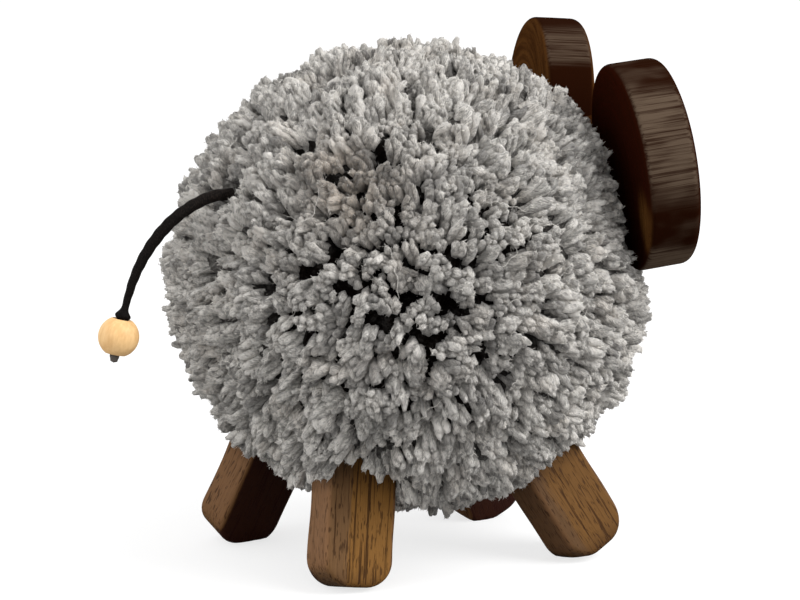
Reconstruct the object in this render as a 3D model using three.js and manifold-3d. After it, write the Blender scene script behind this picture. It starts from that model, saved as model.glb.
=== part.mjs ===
// A yarn pompom mouse with wooden ears, legs and head, and a cord tail that carries a bead.
// Millimetres, +Z up. The nose points to -Y and the mouse's right side is at -X.
import * as THREE from "three";
import { mergeVertices } from "three/addons/utils/BufferGeometryUtils.js";
import Module from "manifold-3d";

const wasm = await Module();
wasm.setup();

// Clearance left between neighbouring pieces.
const GAP = 0.3;

// Yarn ball: radius of the clipped pile, its height as a share of its width, height and spacing of its tufts,
// height of its centre.
const PILE_RADIUS = 41.2;
const PILE_FLATTEN = 0.985;
const TUFT_HEIGHT = 0.8;
const TUFT_SPACING = 16;
const BODY_HEIGHT = 49.5;

// Turned core, and the cord tied round its waist that holds the pile.
const CORE_RADIUS = 16;
const TIE_RADIUS = 1;

// Leg slabs, and the dowels that pin them to the core.
const LEG_WIDTH = 12.8;
const LEG_THICKNESS = 8;
const LEG_LENGTH = 30;
const LEG_CORNER = 4.8;
const LEG_EASE = 0.9;
const SOLE_DEPTH = 0.8;
const LEG_DOWEL_RADIUS = 2.5;
const LEG_DOWEL_DEPTH = 8;

// Each leg: where its line meets the floor, where it crosses the body's middle height, and its twist.
const REAR_RIGHT_FOOT = [-17.8, 19.5];
const REAR_RIGHT_HIP = [-4.5, 10.5];
const REAR_LEFT_FOOT = [20.8, 26.3];
const REAR_LEFT_HIP = [5.5, 9.5];
const FRONT_RIGHT_FOOT = [-17.6, -29.1];
const FRONT_RIGHT_HIP = [-3.5, -2];
const FRONT_LEFT_FOOT = [16.7, -25];
const FRONT_LEFT_HIP = [3.5, -2];
const LEGS = [
  { side: "rear_right", out: -1, foot: REAR_RIGHT_FOOT, hip: REAR_RIGHT_HIP, twist: 0 },
  { side: "rear_left", out: 1, foot: REAR_LEFT_FOOT, hip: REAR_LEFT_HIP, twist: 15 },
  { side: "front_right", out: -1, foot: FRONT_RIGHT_FOOT, hip: FRONT_RIGHT_HIP, twist: 14 },
  { side: "front_left", out: 1, foot: FRONT_LEFT_FOOT, hip: FRONT_LEFT_HIP, twist: 4 },
];

// Ear discs, and the dowels in their rims.
const EAR_RADIUS = 17.8;
const EAR_THICKNESS = 9.2;
const EAR_FRONT_ROUND = 1.5;
const EAR_BACK_ROUND = 1.2;
const EAR_DOWEL_RADIUS = 1.6;
const EAR_DOWEL_DEPTH = 6;
const EAR_DOWEL_REACH = 3;

// Each ear: its centre from the body's centre, its turn about the vertical and its backward lean.
const RIGHT_EAR_CENTRE = [-24.8, -33.1, 21];
const LEFT_EAR_CENTRE = [22.4, -39.8, 25.5];
const EARS = [
  { side: "right", centre: RIGHT_EAR_CENTRE, turn: -15, lean: 8.2 },
  { side: "left", centre: LEFT_EAR_CENTRE, turn: -15, lean: -3.6 },
];

// Turned head: a short egg with a flat back, pinned to the core by a dowel.
const HEAD_RADIUS = 14;
const HEAD_BACK_RADIUS = 10.5;
const HEAD_LENGTH = 24.4;
const HEAD_WIDEST = 12;
const HEAD_BACK = [0.6, -31.5, 15];
const HEAD_TURN = -6;
const HEAD_NOD = 12;
const NECK_RADIUS = 3;
const NECK_DEPTH = 9;
const EYE_RADIUS = 1.9;
const EYE_SPREAD = 38;
const EYE_FORWARD = 17.5;
const NOSE_RADIUS = 2.6;

// Tail cord in the plane x = TAIL_X: from the yarn to where it flexes, and on to its end under the bead.
const CORD_RADIUS = 0.9;
const TAIL_X = -6;
const TAIL_BASE_ROUTE = [[34.9, 17.4], [38.4, 17.2], [42.1, 15.8], [45.3, 13.8]];
const TAIL_FLEX = [48.5, 10.7];
const TAIL_END = [[55.375, -5.625], [56.2, -9.15]];
const TAIL_TIP_ROUTE = [[50.7, 7.7], [52.4, 4.4], [53.65, 0.9], [54.55, -2.1], ...TAIL_END];
const BEAD_RADIUS = 3.4;
const BEAD_BORE = 1.3;
const BEAD_FLAT = 0.2;
const KNOT_RADIUS = 1.4;
const KNOT_LENGTH = 2.2;
const END_KNOT_LENGTH = 0.9;
const ROOT_HOLLOW = 5.5;
const TAIL_DEPTH = 6;

// Finishes.
const yarnGrey = finish(0xb9babb, 0.95);
const coreWood = finish(0xc8a878, 0.7);
const legWood = finish(0x6e4a2c, 0.6);
const earWood = finish(0x3b2420, 0.5);
const beadWood = finish(0xc9b497, 0.55);
const cordBlack = finish(0x17171b, 0.6);
const beadBlack = finish(0x0c0c0d, 0.25);

function finish(color, roughness) {
  return new THREE.MeshStandardMaterial({ color, roughness, metalness: 0 });
}

// A closed body from a geometry, and back again.
function solid(geometry) {
  const bare = geometry.clone();
  bare.deleteAttribute("normal");
  bare.deleteAttribute("uv");
  const merged = mergeVertices(bare, 1e-4);
  const mesh = new wasm.Mesh({
    numProp: 3,
    vertProperties: Float32Array.from(merged.attributes.position.array),
    triVerts: Uint32Array.from(merged.index.array),
  });
  return new wasm.Manifold(mesh);
}

function geometryOf(body) {
  const mesh = body.getMesh();
  const geometry = new THREE.BufferGeometry();
  geometry.setAttribute("position", new THREE.BufferAttribute(mesh.vertProperties, 3));
  geometry.setIndex(new THREE.BufferAttribute(mesh.triVerts, 1));
  geometry.computeVertexNormals();
  return geometry;
}

function cut(geometry, ...tools) {
  let body = solid(geometry);
  for (const tool of tools) {
    body = body.subtract(solid(tool));
  }
  return geometryOf(body);
}

// Moves world geometry into the frame that a matrix places.
function into(matrix, geometry) {
  return geometry.clone().applyMatrix4(matrix.clone().invert());
}

function at(matrix, geometry) {
  return geometry.clone().applyMatrix4(matrix);
}

// Frame whose Y axis runs along a direction, at a point.
function along(point, direction) {
  const turn = new THREE.Quaternion();
  turn.setFromUnitVectors(new THREE.Vector3(0, 1, 0), direction.clone().normalize());
  return new THREE.Matrix4().compose(point, turn, new THREE.Vector3(1, 1, 1));
}

// Round bar between two points, in world coordinates.
function bar(from, to, radius, grow = 0) {
  const run = to.clone().sub(from);
  const middle = from.clone().addScaledVector(run, 0.5);
  const cylinder = new THREE.CylinderGeometry(radius + grow, radius + grow, run.length() + 2 * grow, 14);
  return at(along(middle, run), cylinder);
}

const object = new THREE.Group();
object.name = "pompom_mouse";
const body = new THREE.Group();
body.name = "body";
const tail = new THREE.Group();
tail.name = "tail";
object.add(body, tail);

function place(group, name, geometry, material, matrix = new THREE.Matrix4()) {
  const mesh = new THREE.Mesh(geometry, material);
  mesh.name = name;
  mesh.applyMatrix4(matrix);
  group.add(mesh);
  return mesh;
}

// Legs.
const block = 4 * PILE_RADIUS;
const floorBlock = new THREE.BoxGeometry(block, block, block).translate(0, 0, -BODY_HEIGHT - block / 2);

function legSlab(grow = 0) {
  const half = LEG_WIDTH / 2 - LEG_EASE;
  const round = LEG_CORNER - LEG_EASE;
  const top = LEG_LENGTH - LEG_EASE;
  const outline = new THREE.Shape();
  outline.moveTo(half, LEG_EASE + round);
  outline.lineTo(half, top);
  outline.lineTo(-half, top);
  outline.lineTo(-half, LEG_EASE + round);
  outline.absarc(-half + round, LEG_EASE + round, round, Math.PI, 1.5 * Math.PI);
  outline.absarc(half - round, LEG_EASE + round, round, 1.5 * Math.PI, 2 * Math.PI);
  const slab = new THREE.ExtrudeGeometry(outline, {
    depth: LEG_THICKNESS - 2 * LEG_EASE,
    curveSegments: 3,
    bevelEnabled: true,
    bevelSize: LEG_EASE + grow,
    bevelThickness: LEG_EASE + grow,
    bevelSegments: 2,
  });
  return slab.translate(0, 0, LEG_EASE - LEG_THICKNESS / 2);
}

function lowest(geometry) {
  geometry.computeBoundingBox();
  return geometry.boundingBox.min.z;
}

const legs = LEGS.map((leg) => {
  const foot = new THREE.Vector3(leg.foot[0], leg.foot[1], -BODY_HEIGHT);
  const up = new THREE.Vector3(leg.hip[0], leg.hip[1], 0).sub(foot).normalize();
  const face = new THREE.Vector3(leg.out, 0, 0);
  face.addScaledVector(up, -face.dot(up)).normalize();
  face.applyAxisAngle(up, THREE.MathUtils.degToRad(leg.twist));
  const across = up.clone().cross(face);
  const frame = new THREE.Matrix4().makeBasis(across, up, face);
  const slide = (-SOLE_DEPTH - lowest(at(frame, legSlab()))) / up.z;
  const end = foot.addScaledVector(up, slide);
  frame.setPosition(end);
  // The dowel runs from inside the slab's top into the core.
  const top = end.clone().addScaledVector(up, LEG_LENGTH);
  const toCore = top.dot(up);
  const deep = Math.sqrt(CORE_RADIUS ** 2 - (top.lengthSq() - toCore ** 2));
  const from = top.clone().addScaledVector(up, -LEG_DOWEL_DEPTH);
  const to = top.clone().addScaledVector(up, -toCore - deep + LEG_DOWEL_DEPTH);
  return { ...leg, frame, from, to };
});

for (const leg of legs) {
  const tools = [floorBlock, bar(leg.from, leg.to, LEG_DOWEL_RADIUS, GAP)];
  const slab = cut(legSlab(), ...tools.map((tool) => into(leg.frame, tool)));
  place(body, `leg_${leg.side}`, slab, legWood, leg.frame);
  place(body, `leg_dowel_${leg.side}`, bar(leg.from, leg.to, LEG_DOWEL_RADIUS), coreWood);
}

// Head: a lathe form round its own Y axis, from the flat back to the snout.
function headForm(grow = 0) {
  const profile = new THREE.Path();
  const wide = HEAD_RADIUS + grow;
  const tip = HEAD_LENGTH + grow;
  profile.moveTo(0, -grow);
  profile.lineTo(HEAD_BACK_RADIUS + grow, -grow);
  profile.bezierCurveTo(wide - 0.8, 2, wide, HEAD_WIDEST - 6, wide, HEAD_WIDEST);
  profile.bezierCurveTo(wide, HEAD_WIDEST + 7, 6, tip, 0, tip);
  return new THREE.LatheGeometry(profile.getPoints(6), 28);
}

const headAxis = new THREE.Vector3(0, -1, 0);
headAxis.applyAxisAngle(new THREE.Vector3(1, 0, 0), THREE.MathUtils.degToRad(HEAD_NOD));
headAxis.applyAxisAngle(new THREE.Vector3(0, 0, 1), THREE.MathUtils.degToRad(HEAD_TURN));
const headBack = new THREE.Vector3(...HEAD_BACK);
const headFrame = along(headBack, headAxis);

function onHead(forward, distance, angle) {
  const side = new THREE.Vector3(0, 0, 1).cross(headAxis).normalize();
  const upward = headAxis.clone().cross(side);
  const point = headBack.clone().addScaledVector(headAxis, forward);
  point.addScaledVector(side, distance * Math.sin(angle));
  return point.addScaledVector(upward, distance * Math.cos(angle));
}

function headRadiusAt(forward) {
  const share = (forward - HEAD_WIDEST) / (HEAD_LENGTH - HEAD_WIDEST);
  return HEAD_RADIUS * Math.sqrt(Math.max(0, 1 - share ** 2));
}

// Neck dowel, from the core into the head.
const neckTo = headBack.clone().addScaledVector(headBack.clone().normalize(), NECK_DEPTH);
const neckFrom = headBack.clone().setLength(CORE_RADIUS - NECK_DEPTH);

// Ears: discs whose front faces look along the frame's Y axis.
function earDisc(grow = 0) {
  const rim = EAR_RADIUS + grow;
  const front = EAR_THICKNESS / 2 + grow;
  const profile = new THREE.Path();
  profile.moveTo(0, -front);
  profile.lineTo(rim - EAR_BACK_ROUND, -front);
  profile.absarc(rim - EAR_BACK_ROUND, -front + EAR_BACK_ROUND, EAR_BACK_ROUND, -Math.PI / 2, 0);
  profile.lineTo(rim, front - EAR_FRONT_ROUND);
  profile.absarc(rim - EAR_FRONT_ROUND, front - EAR_FRONT_ROUND, EAR_FRONT_ROUND, 0, Math.PI / 2);
  profile.lineTo(0, front);
  return new THREE.LatheGeometry(profile.getPoints(2), 36);
}

const headMiddle = headBack.clone().addScaledVector(headAxis, HEAD_WIDEST);
const ears = EARS.map((ear) => {
  const turn = THREE.MathUtils.degToRad(ear.turn);
  const lean = THREE.MathUtils.degToRad(ear.lean);
  const facing = new THREE.Vector3(Math.sin(turn), -Math.cos(turn), Math.tan(lean)).normalize();
  const centre = new THREE.Vector3(...ear.centre);
  const inward = headMiddle.clone().sub(centre);
  inward.addScaledVector(facing, -inward.dot(facing)).normalize();
  const from = centre.clone().addScaledVector(inward, EAR_RADIUS - EAR_DOWEL_DEPTH);
  const to = centre.clone().addScaledVector(inward, EAR_RADIUS + EAR_DOWEL_REACH);
  return { ...ear, frame: along(centre, facing), from, to };
});

for (const ear of ears) {
  const socket = into(ear.frame, bar(ear.from, ear.to, EAR_DOWEL_RADIUS, GAP));
  place(body, `ear_${ear.side}`, cut(earDisc(), socket), earWood, ear.frame);
  place(body, `ear_dowel_${ear.side}`, bar(ear.from, ear.to, EAR_DOWEL_RADIUS), coreWood);
}

// Eyes and nose: beads let halfway into the head.
function faceBead(point, radius, grow = 0) {
  return new THREE.SphereGeometry(radius + grow, 12, 8).translate(point.x, point.y, point.z);
}

const eyeAngle = THREE.MathUtils.degToRad(EYE_SPREAD);
const eyeOut = headRadiusAt(EYE_FORWARD);
const face = [
  { name: "eye_right", point: onHead(EYE_FORWARD, eyeOut, -eyeAngle), radius: EYE_RADIUS },
  { name: "eye_left", point: onHead(EYE_FORWARD, eyeOut, eyeAngle), radius: EYE_RADIUS },
  { name: "nose", point: onHead(HEAD_LENGTH, 0, 0), radius: NOSE_RADIUS },
];

const headTools = [bar(neckFrom, neckTo, NECK_RADIUS, GAP)];
for (const ear of ears) {
  headTools.push(at(ear.frame, earDisc(GAP)), bar(ear.from, ear.to, EAR_DOWEL_RADIUS, GAP));
}
for (const part of face) {
  headTools.push(faceBead(part.point, part.radius, GAP));
  place(body, part.name, faceBead(part.point, part.radius), beadBlack);
}
place(body, "head", cut(headForm(), ...headTools.map((tool) => into(headFrame, tool))), earWood, headFrame);
place(body, "neck_dowel", bar(neckFrom, neckTo, NECK_RADIUS), coreWood);

// Tail: a curve through the route, parted at the root and at the flex point.
const tailPoint = ([y, z]) => new THREE.Vector3(TAIL_X, y, z);
const baseRoute = TAIL_BASE_ROUTE.map(tailPoint);
const flex = tailPoint(TAIL_FLEX);
const tipRoute = [flex, ...TAIL_TIP_ROUTE.map(tailPoint)];
const root = baseRoute[0];

function cordAlong(points) {
  const ring = new THREE.Shape();
  ring.absarc(0, 0, CORD_RADIUS, 0, 2 * Math.PI);
  return new THREE.ExtrudeGeometry(ring, {
    curveSegments: 4,
    steps: 2 * (points.length - 1),
    bevelEnabled: false,
    extrudePath: new THREE.CatmullRomCurve3(points),
  });
}

function cordBall(centre) {
  return new THREE.SphereGeometry(CORD_RADIUS, 8, 6).translate(centre.x, centre.y, centre.z);
}

function joined(...geometries) {
  let whole = solid(geometries[0]);
  for (const geometry of geometries.slice(1)) {
    whole = whole.add(solid(geometry));
  }
  return geometryOf(whole);
}

function shortOf(end, towards) {
  return end.clone().addScaledVector(towards.clone().sub(end).normalize(), CORD_RADIUS + GAP);
}

const basePath = [...baseRoute, shortOf(flex, baseRoute.at(-1))];
place(tail, "tail_cord_base", joined(cordAlong(basePath), cordBall(root)), cordBlack);

// The tail's inner run, from the core to just short of the root.
const innerFrom = root.clone().setLength(CORE_RADIUS - TAIL_DEPTH);
const innerTo = shortOf(root, innerFrom);
place(body, "tail_root", bar(innerFrom, innerTo, CORD_RADIUS), cordBlack);

// Bead on the cord's straight last run, held between a knot above it and one at the cord's end.
const cordEnd = tipRoute.at(-1);
const lastRun = cordEnd.clone().sub(tipRoute.at(-2)).normalize();
const beadHalf = Math.sqrt(BEAD_RADIUS ** 2 - BEAD_BORE ** 2) - BEAD_FLAT;
const beadCentre = cordEnd.clone().addScaledVector(lastRun, -END_KNOT_LENGTH - GAP - beadHalf);
const beadFrame = along(beadCentre, lastRun);

function beadForm() {
  const start = Math.acos(beadHalf / BEAD_RADIUS);
  const profile = new THREE.Path();
  profile.moveTo(BEAD_BORE, -beadHalf);
  profile.lineTo(BEAD_RADIUS * Math.sin(start), -beadHalf);
  profile.absarc(0, 0, BEAD_RADIUS, start - Math.PI / 2, Math.PI / 2 - start);
  profile.lineTo(BEAD_BORE, beadHalf);
  profile.lineTo(BEAD_BORE, -beadHalf);
  return new THREE.LatheGeometry(profile.getPoints(5), 20);
}

place(tail, "tail_bead", beadForm(), beadWood, beadFrame);

// Knots drawn up round the cord: a drop above the bead and a button below it.
function knot(outline) {
  const curve = new THREE.SplineCurve(outline.map(([r, y]) => new THREE.Vector2(r, y)));
  const start = new THREE.Vector2(0, outline[0][1]);
  const stop = new THREE.Vector2(0, outline.at(-1)[1]);
  return at(beadFrame, new THREE.LatheGeometry([start, ...curve.getPoints(5), stop], 12));
}

const above = -beadHalf - GAP;
const below = beadHalf + GAP;
const neckRadius = (CORD_RADIUS + KNOT_RADIUS) / 2;
const upperKnot = knot([
  [CORD_RADIUS, above - KNOT_LENGTH],
  [KNOT_RADIUS, above - KNOT_LENGTH / 4],
  [neckRadius, above],
]);
const lowerKnot = knot([
  [neckRadius, below],
  [KNOT_RADIUS, below + END_KNOT_LENGTH / 2],
  [neckRadius, below + END_KNOT_LENGTH],
]);
place(tail, "tail_cord_tip", joined(cordAlong(tipRoute), cordBall(flex), upperKnot, lowerKnot), cordBlack);

// Yarn ball: rounded tufts over a sphere, split at the waist where it is tied.
function yarnBall() {
  const ball = new THREE.IcosahedronGeometry(PILE_RADIUS, 9);
  const spots = ball.attributes.position;
  const k = (2 * Math.PI) / TUFT_SPACING;
  const p = new THREE.Vector3();
  for (let i = 0; i < spots.count; i += 1) {
    p.fromBufferAttribute(spots, i);
    const wave = Math.sin(k * p.x) * Math.cos(k * p.y) + Math.sin(k * p.y) * Math.cos(k * p.z);
    const tuft = wave + Math.sin(k * p.z) * Math.cos(k * p.x);
    p.setLength(PILE_RADIUS + TUFT_HEIGHT * tuft);
    spots.setXYZ(i, p.x, p.y, PILE_FLATTEN * p.z);
  }
  return ball;
}

const tieRing = (grow) => new THREE.TorusGeometry(CORE_RADIUS, TIE_RADIUS + grow, 8, 32);
const pins = (grow) => [
  ...legs.map((leg) => bar(leg.from, leg.to, LEG_DOWEL_RADIUS, grow)),
  bar(neckFrom, neckTo, NECK_RADIUS, grow),
  bar(innerFrom, innerTo, CORD_RADIUS, grow),
];
const coreBall = (grow) => new THREE.SphereGeometry(CORE_RADIUS + grow, 24, 14);
place(body, "core_block", cut(coreBall(0), tieRing(GAP), ...pins(GAP)), coreWood);
place(body, "tie_cord", tieRing(0), cordBlack);

const hollowAt = root.clone().lerp(baseRoute[1], 0.3).setLength(root.length() + ROOT_HOLLOW / 2);
const rootHollow = new THREE.SphereGeometry(ROOT_HOLLOW, 12, 8).translate(...hollowAt.toArray());
const pileTools = [coreBall(GAP), tieRing(GAP), ...pins(GAP), at(headFrame, headForm(GAP)), rootHollow];
pileTools.push(...legs.map((leg) => at(leg.frame, legSlab(GAP))));
pileTools.push(...ears.map((ear) => at(ear.frame, earDisc(GAP))));
for (const [name, side] of [["yarn_upper", 1], ["yarn_lower", -1]]) {
  const otherSide = new THREE.BoxGeometry(block, block, block).translate(0, 0, (side * (GAP - block)) / 2);
  place(body, name, cut(yarnBall(), otherSide, ...pileTools), yarnGrey);
}

// The origin is under the middle of the body, on the floor.
const span = new THREE.Box3().setFromObject(body, true);
const middle = span.getCenter(new THREE.Vector3());
object.position.set(-middle.x, -middle.y, -span.min.z);

export default object;
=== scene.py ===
"""Looks of the pompom mouse: yarn, wood, cord and bead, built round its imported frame."""

import math

import bpy
import numpy as np
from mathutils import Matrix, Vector


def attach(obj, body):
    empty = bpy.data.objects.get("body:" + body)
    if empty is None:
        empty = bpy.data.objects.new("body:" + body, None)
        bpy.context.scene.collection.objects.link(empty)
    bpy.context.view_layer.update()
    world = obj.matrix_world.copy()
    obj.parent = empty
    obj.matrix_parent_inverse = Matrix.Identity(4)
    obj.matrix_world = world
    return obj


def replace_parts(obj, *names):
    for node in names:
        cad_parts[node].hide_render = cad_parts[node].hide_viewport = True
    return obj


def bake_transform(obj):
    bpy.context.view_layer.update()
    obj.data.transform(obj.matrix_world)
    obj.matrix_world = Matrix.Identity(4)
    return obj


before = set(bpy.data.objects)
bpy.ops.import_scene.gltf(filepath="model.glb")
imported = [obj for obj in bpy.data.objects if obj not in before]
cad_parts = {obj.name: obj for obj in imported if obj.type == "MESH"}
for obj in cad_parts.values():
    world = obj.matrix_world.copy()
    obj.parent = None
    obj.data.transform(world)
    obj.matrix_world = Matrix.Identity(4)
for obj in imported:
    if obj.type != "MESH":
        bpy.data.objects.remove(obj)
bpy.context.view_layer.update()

bl_info = {
    "name": "Pompom mouse",
    "version": (1, 0, 0),
    "blender": (4, 5, 0),
    "location": "View3D > Sidebar > Mouse",
    "description": "Dresses a pompom mouse in cut yarn, stained wood, cord and bead",
    "category": "Object",
}

MM = 0.001
TAU = math.tau


def length(vectors):
    """The length of each vector."""
    return np.linalg.norm(vectors, axis=-1)


def unit(vectors):
    """Each vector divided by its own length."""
    vectors = np.asarray(vectors, float)
    return vectors / length(vectors)[..., None]


# The pile: its middle in mm, its height as a share of its width, and the height and spacing of its broad swells.
CENTRE = np.array([0.4338, 7.9340, 49.5])
PILE_FLATTEN, SWELL_HEIGHT, SWELL_SPACING = 0.985, 0.8, 16.0

# Legs: the middle of the lower end, the way up along the slab and the way its broad face looks, in mm.
LEGS = {
    "rear_right": ((-17.2749, 27.3722, 0.3399), (0.2556, -0.1729, 0.9512), (-0.9668, -0.0457, 0.2515)),
    "rear_left": ((20.9866, 33.9626, 0.7997), (-0.2809, -0.3084, 0.9088), (0.9270, 0.1579, 0.3401)),
    "front_right": ((-16.7908, -20.4445, 1.3178), (0.2424, 0.4659, 0.8510), (-0.9414, -0.0993, 0.3225)),
    "front_left": ((16.8805, -16.6247, 0.9498), (-0.2351, 0.4096, 0.8815), (0.9696, 0.1621, 0.1833)),
}
LEG_WIDTH, LEG_THICKNESS, LEG_LENGTH = 12.8, 8.0, 30.0
# Radii of a leg's lower corners, upper corners and eased edges, and the length of it that is bare of yarn.
LEG_CORNER, LEG_TOP, LEG_EASE, LEG_BARE = 4.8, 1.6, 0.9, 20.0
# Each leg's lower end and its own axes: across, up along the slab and out of its face.
LEG_FRAMES = {
    leg: (np.array(end), np.stack((np.cross(unit(up), unit(face)), unit(up), unit(face))))
    for leg, (end, up, face) in LEGS.items()
}
# How light each leg's wood is, and where its golden band starts, as a share of its half width.
LEG_TONES = {"rear_right": 0.75, "rear_left": 0.53, "front_right": 0.41, "front_left": 0.45}
LEG_BANDS = {"rear_right": 0.25, "rear_left": 0.4, "front_right": 0.5, "front_left": -0.2}

# Ears: the middle of the disc and the way its front face looks.
EARS = {
    "right": (np.array((-24.3662, -25.1660, 70.5)), unit((-0.2562, -0.9561, 0.1426))),
    "left": (np.array((22.8338, -31.8660, 75.0)), unit((-0.2583, -0.9640, -0.0628))),
}
EAR_RADIUS, EAR_THICKNESS, EAR_AROUND = 17.8, 9.2, 144
EAR_FRONT_ROUND, EAR_BACK_ROUND = 1.5, 1.2
# Heights on each rim, as shares of its radius, between which a grey sheen is painted over the stain: it starts, is
# full, is still full and ends, and how strong it is. A sheen is painted on the foot of the rim too, between two
# depths, by so much more.
EAR_SHEEN = {"right": (-0.34, 0.06, 0.70, 0.84, 1.0), "left": (0.54, 0.63, 0.84, 0.95, 0.68)}
FOOT_SHEEN_START, FOOT_SHEEN_FULL, FOOT_SHEEN = 0.68, 0.82, 1.6
# How far each ear's faces are painted lighter toward bare wood, as painted light on the left ear and none on the
# right, and a painted patch of warm light low on the right ear's back face with a dark spot in the wood beside it,
# with the squares of their sizes.
EAR_LIT_FACES = {"right": 0.0, "left": 0.5}
EAR_LIT_PATCH, LIT_PATCH_SIZE = np.array([-36.3, -18.2, 61.4]), (12.0, 12.0, 30.0)
EAR_SPOT, SPOT_SIZE = np.array([-40.4, -18.2, 66.0]), 5.0

# Head: the middle of its back and the way to its snout. Its outline is (radius, distance from the back): steps of
# the flat back, then the control points of cheek and snout.
HEAD_BACK = np.array([1.0338, -23.5660, 64.5])
HEAD_AXIS = unit((-0.1022, -0.9728, -0.2079))
HEAD_LENGTH, HEAD_WIDEST, HEAD_STEPS = 24.4, 12.0, 5
HEAD_CHEEK = np.array(((10.5, 0), (13.2, 2), (14, 6), (14, HEAD_WIDEST)))
HEAD_SNOUT = np.array(((14, HEAD_WIDEST), (14, 19), (6, HEAD_LENGTH), (0, HEAD_LENGTH)))
# How far apart legs, ears and head lie in their wood, so that no two look alike, and the pith beside each axis.
LEG_GRAIN, EAR_GRAIN, HEAD_GRAIN = np.array((31.0, 53.0, 0)), np.array((37.0, 0, 0)), (91.0, 0, 0)
EAR_PITH, HEAD_PITH = (4.0, -3.0), (7.0, -9.0)
FACE_BEADS = {
    "eye_right": ((-8.6530, -41.8268, 70.5330), 1.9),
    "eye_left": ((6.7124, -43.4418, 70.5330), 1.9),
    "nose": ((-1.4609, -47.3020, 59.4270), 2.6),
}

# Tail: the cord's route across x = TAIL_X as (y, z), from the yarn to its end under the bead.
TAIL_X = -5.5662
TAIL_ROUTE = np.array([(TAIL_X, y, z) for y, z in (
    (42.8340, 66.9), (46.3340, 66.7), (50.0340, 65.3), (53.2340, 63.3), (56.4340, 60.2), (58.6340, 57.2),
    (60.3340, 53.9), (61.5840, 50.4), (62.4840, 47.4), (63.3090, 43.875), (64.1340, 40.35),
)])
# The point where it flexes, the way it runs there, half the length that bends, and its swing in degrees.
TAIL_FLEX, FLEX_WAY, FLEX_HALF, TAIL_SWING = TAIL_ROUTE[4], np.array((0, 0.69, -0.72)), 4.0, 35.0
# The groove that the yarn leaves for the swing: its length and half its width.
GROOVE_LENGTH, GROOVE_HALF = 16.0, 1.7
# Points round and along the cord, its strands, the length of their lay and the depth of the furrows between them.
CORD_SIDES, CORD_STEPS, CORD_STRANDS, CORD_LAY, CORD_FURROW = 24, 260, 3, 7.2, 0.045
# Distances along it where it is drawn thinner, where its lighter flecks thin out and where its cut end shows.
CORD_TAPER, CORD_FLECKS, CORD_CUT = (14.0, 28.0), (2.0, 12.0), (35.9, 36.5)
# The bead: its place, the way through it, its radius, bore and half length, and the chamfer of its bore.
BEAD_CENTRE = np.array([TAIL_X, 63.1902, 44.3827])
BEAD_AXIS = np.array([0.0, 0.2279, -0.9737])
BEAD_RADIUS, BEAD_BORE, BEAD_HALF, BEAD_CHAMFER, BEAD_SINK = 3.4, 1.3, 2.94, 0.2, 0.25

# Partings where the yarn opens onto its inside, painted in shade there: the way to each from the middle, and its
# size in mm.
PARTINGS = np.array([
    (-0.383, 0.649, 0.658, 3.3), (-0.651, 0.429, 0.627, 2.8), (-0.613, 0.567, 0.551, 0.5),
    (-0.695, 0.676, 0.244, 2.2), (-0.788, 0.556, 0.265, 1.8), (-0.879, 0.423, 0.218, 1.8),
    (-0.919, 0.356, 0.172, 1.6), (-0.947, 0.236, 0.215, 1.8), (-0.954, 0.283, 0.098, 2.0),
    (-0.982, 0.188, 0.024, 1.8), (-0.770, 0.629, 0.110, 1.8), (-0.865, 0.502, -0.026, 1.5),
    (-0.846, 0.511, -0.151, 1.2), (-0.905, 0.165, -0.391, 1.3), (-0.954, -0.269, 0.134, 1.5),
    (-0.852, 0.199, 0.484, 1.2), (-0.655, 0.741, 0.148, 1.2), (-0.731, 0.581, 0.357, 1.2),
    (-0.737, 0.612, -0.287, 1.2), (-0.944, 0.259, -0.203, 1.2),
])
# Small partings that lie anywhere, and the soiled spot: the way to it and its size.
LOOSE_PARTINGS = 36
BROWN_SPOT, BROWN_SIZE = unit((-0.66, 0.565, 0.49)), 8.0

# The side where the pile lies open, which faces the camera and where the wool gets painted shade, and how far its
# ends lean away from there, as a share of their reach.
OPEN_SIDE, OPEN_LEAN = unit((-0.894, 0.440, 0.090)), 0.075

# Where the rings of a ply lie, as shares of its length, and their sizes as shares of its radius.
RINGS = np.array((0.25, 0.58, 0.75, 0.87, 0.945, 1.0))
RING_SIZES = np.array((0.80, 0.95, 1.05, 1.08, 0.96, 0.55))
RING_LUMPS = np.array((0.05, 0.10, 0.13, 0.15, 0.17, 0.20))
CLUMP_STRANDS, PLIES, PLY_SIDES, HAIR_SIDES = 3, 3, 5, 3
# Unevenness of strands and clumps, as shares of their spacing; toss and scatter of the cut ends, as shares of
# their reach; and the bow of a strand in mm.
STRAND_JITTER, CLUMP_JITTER, TOSS, SCATTER, BOW = 0.18, 0.35, 0.016, 0.036, 0.9
# Pull of an end to the middle of its clump: mean, spread and most.
PULL, PULL_SPREAD, PULL_MOST = 0.13, 0.16, 0.6
# Lengths: the spread from clump to clump and its doming, then mean, spread, least and most from strand to strand.
CLUMP_SPREAD, CLUMP_DOME = 0.25, 0.07
END_MEAN, END_SPREAD, END_LEAST, END_MOST = 0.1, 0.46, -2.4, 0.6
# A few strands are cut short: their share, and by how much at least and at most.
SHORT_SHARE, SHORT_LEAST, SHORT_MOST = 0.06, 1.2, 3.0
# Steps in which a strand is tried for room, the least share of its length that is then left, and how far from
# a leg's middle it has to start, as a share of the way to the rim.
STOP_STEPS, LEAST_CLEAR, LEAST_ASIDE = 24, 0.3, 0.7
# Room that strands, curls and matted wool leave round ears, head and tail, and round legs.
STRAND_ROOM, CURL_ROOM, WOOL_ROOM = 1.25, 1.0, 1.0
STRAND_LEG_ROOM, CURL_LEG_ROOM, WOOL_LEG_ROOM = 1.5, 0.6, 0.8
# Curls: points along one, where the first three start, and how far below the middle of the pile they reach.
CURL_STEPS, CURL_LOWEST = 44, 26.0
CURL_STARTS = unit(((-0.884, 0.468, -0.01), (-0.87, 0.49, 0.03), (-0.93, 0.30, -0.30)))
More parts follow.
